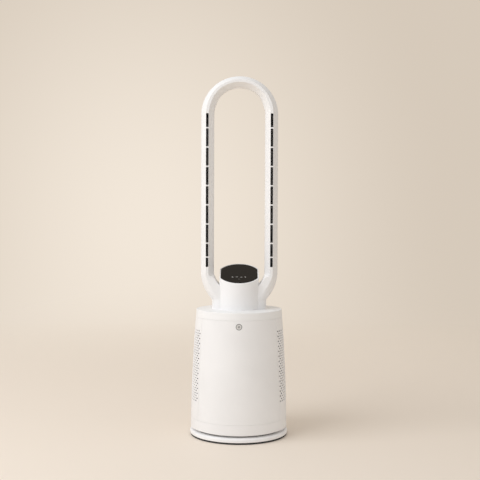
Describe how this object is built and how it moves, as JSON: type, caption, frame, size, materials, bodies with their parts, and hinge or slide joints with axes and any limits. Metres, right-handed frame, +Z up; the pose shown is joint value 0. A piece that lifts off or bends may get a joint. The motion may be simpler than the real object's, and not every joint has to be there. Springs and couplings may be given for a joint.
{
  "type": "bladeless tower fan",
  "caption": "Bladeless tower fan: a tall slotted hoop on a conical purifier body that swings on a round base, with a lift-off rear cover and a cylindrical filter.",
  "frame": {"origin": "on the floor, under the middle of the round base", "axes": "+Z up, -Y towards the front with the display and the air slots, +X to the right seen from the front"},
  "size_m": [0.2726, 0.2726, 1],
  "materials": {
    "white_plastic": "warm white moulded plastic, fine satin texture",
    "grey_plastic": "light grey moulded plastic, satin",
    "dark_plastic": "near-black moulded plastic, matt",
    "black_plastic": "deep black moulded plastic, matt",
    "gear_plastic": "natural acetal, slightly glossy",
    "black_glass": "black glass panel, polished",
    "frosted_lens": "frosted light window",
    "steel": "plain turned or pressed steel",
    "motor_can": "cast motor can, satin",
    "rubber": "soft black rubber, matt",
    "foam": "closed-cell foam, matt",
    "board": "green circuit board, semi-gloss",
    "filter_paper": "pleated white filter paper"
  },
  "bodies": {
    "base": {"base_plate": "white_plastic", "base_cover": "dark_plastic", "rubber_feet": "rubber", "ring_gear": "gear_plastic", "pivot_post": "steel", "retaining_ring": "steel"},
    "ball_cage": {"ball_cage": "gear_plastic", "bearing_balls": "steel"},
    "drive_pinion": {"drive_pinion": "gear_plastic"},
    "tower": {"tower_pan": "dark_plastic", "dust_ring": "dark_plastic", "lower_skirt": "white_plastic", "power_inlet": "dark_plastic", "swing_motor": "steel", "main_board": "board", "chassis": "grey_plastic", "steel_keepers": "steel", "fan_housing": "grey_plastic", "filter_gasket": "foam", "diffuser": "grey_plastic", "fan_motor": "motor_can", "motor_sleeve": "rubber", "front_panel": "white_plastic", "top_deck": "white_plastic", "neck_gasket": "foam", "indicator_ring": "grey_plastic", "indicator_lens": "frosted_lens", "indicator_board": "board", "neck_shell": "white_plastic", "display_glass": "black_glass", "display_frame": "dark_plastic", "display_board": "board", "hoop_front": "white_plastic", "hoop_rear": "white_plastic", "nozzle_left": "black_plastic", "nozzle_right": "black_plastic"},
    "impeller": {"impeller": "grey_plastic", "impeller_shaft": "steel", "impeller_nut": "steel"},
    "rear_cover": {"rear_cover": "white_plastic", "grille_right": "white_plastic", "grille_left": "white_plastic", "cover_magnets": "steel"},
    "filter": {"filter_media": "filter_paper", "filter_core": "grey_plastic", "filter_cap_lower": "dark_plastic", "filter_cap_upper": "dark_plastic", "filter_band": "filter_paper", "filter_pull_tab": "dark_plastic"}
  },
  "joints": [
    {"name": "swing", "type": "hinge", "parent": "base", "child": "tower", "pos_m": [0, 0, 0.0216], "axis": [0, 0, 1], "range_deg": [-40, 40]},
    {"name": "ball_roll", "type": "hinge", "parent": "base", "child": "ball_cage", "pos_m": [0, 0, 0.0186], "axis": [0, 0, 1], "range_deg": [-20, 20]},
    {"name": "pinion_spin", "type": "hinge", "parent": "tower", "child": "drive_pinion", "pos_m": [0, 0.045, 0.012], "axis": [0, 0, 1], "range_deg": [-240, 240]},
    {"name": "impeller_spin", "type": "hinge", "parent": "tower", "child": "impeller", "pos_m": [0, 0, 0.28], "axis": [0, 0, 1], "continuous": true},
    {"name": "cover_off", "type": "slide", "parent": "tower", "child": "rear_cover", "axis": [0, 1, 0], "range_m": [0, 0.32]},
    {"name": "filter_out", "type": "slide", "parent": "tower", "child": "filter", "axis": [0, 1, 0], "range_m": [0, 0.24]}
  ],
  "couplings": [
    {"joint": "ball_roll", "follows": "swing", "ratio": 0.5},
    {"joint": "pinion_spin", "follows": "swing", "ratio": -6},
    {"joint": "filter_out", "follows": "cover_off", "ratio": 0.75}
  ]
}
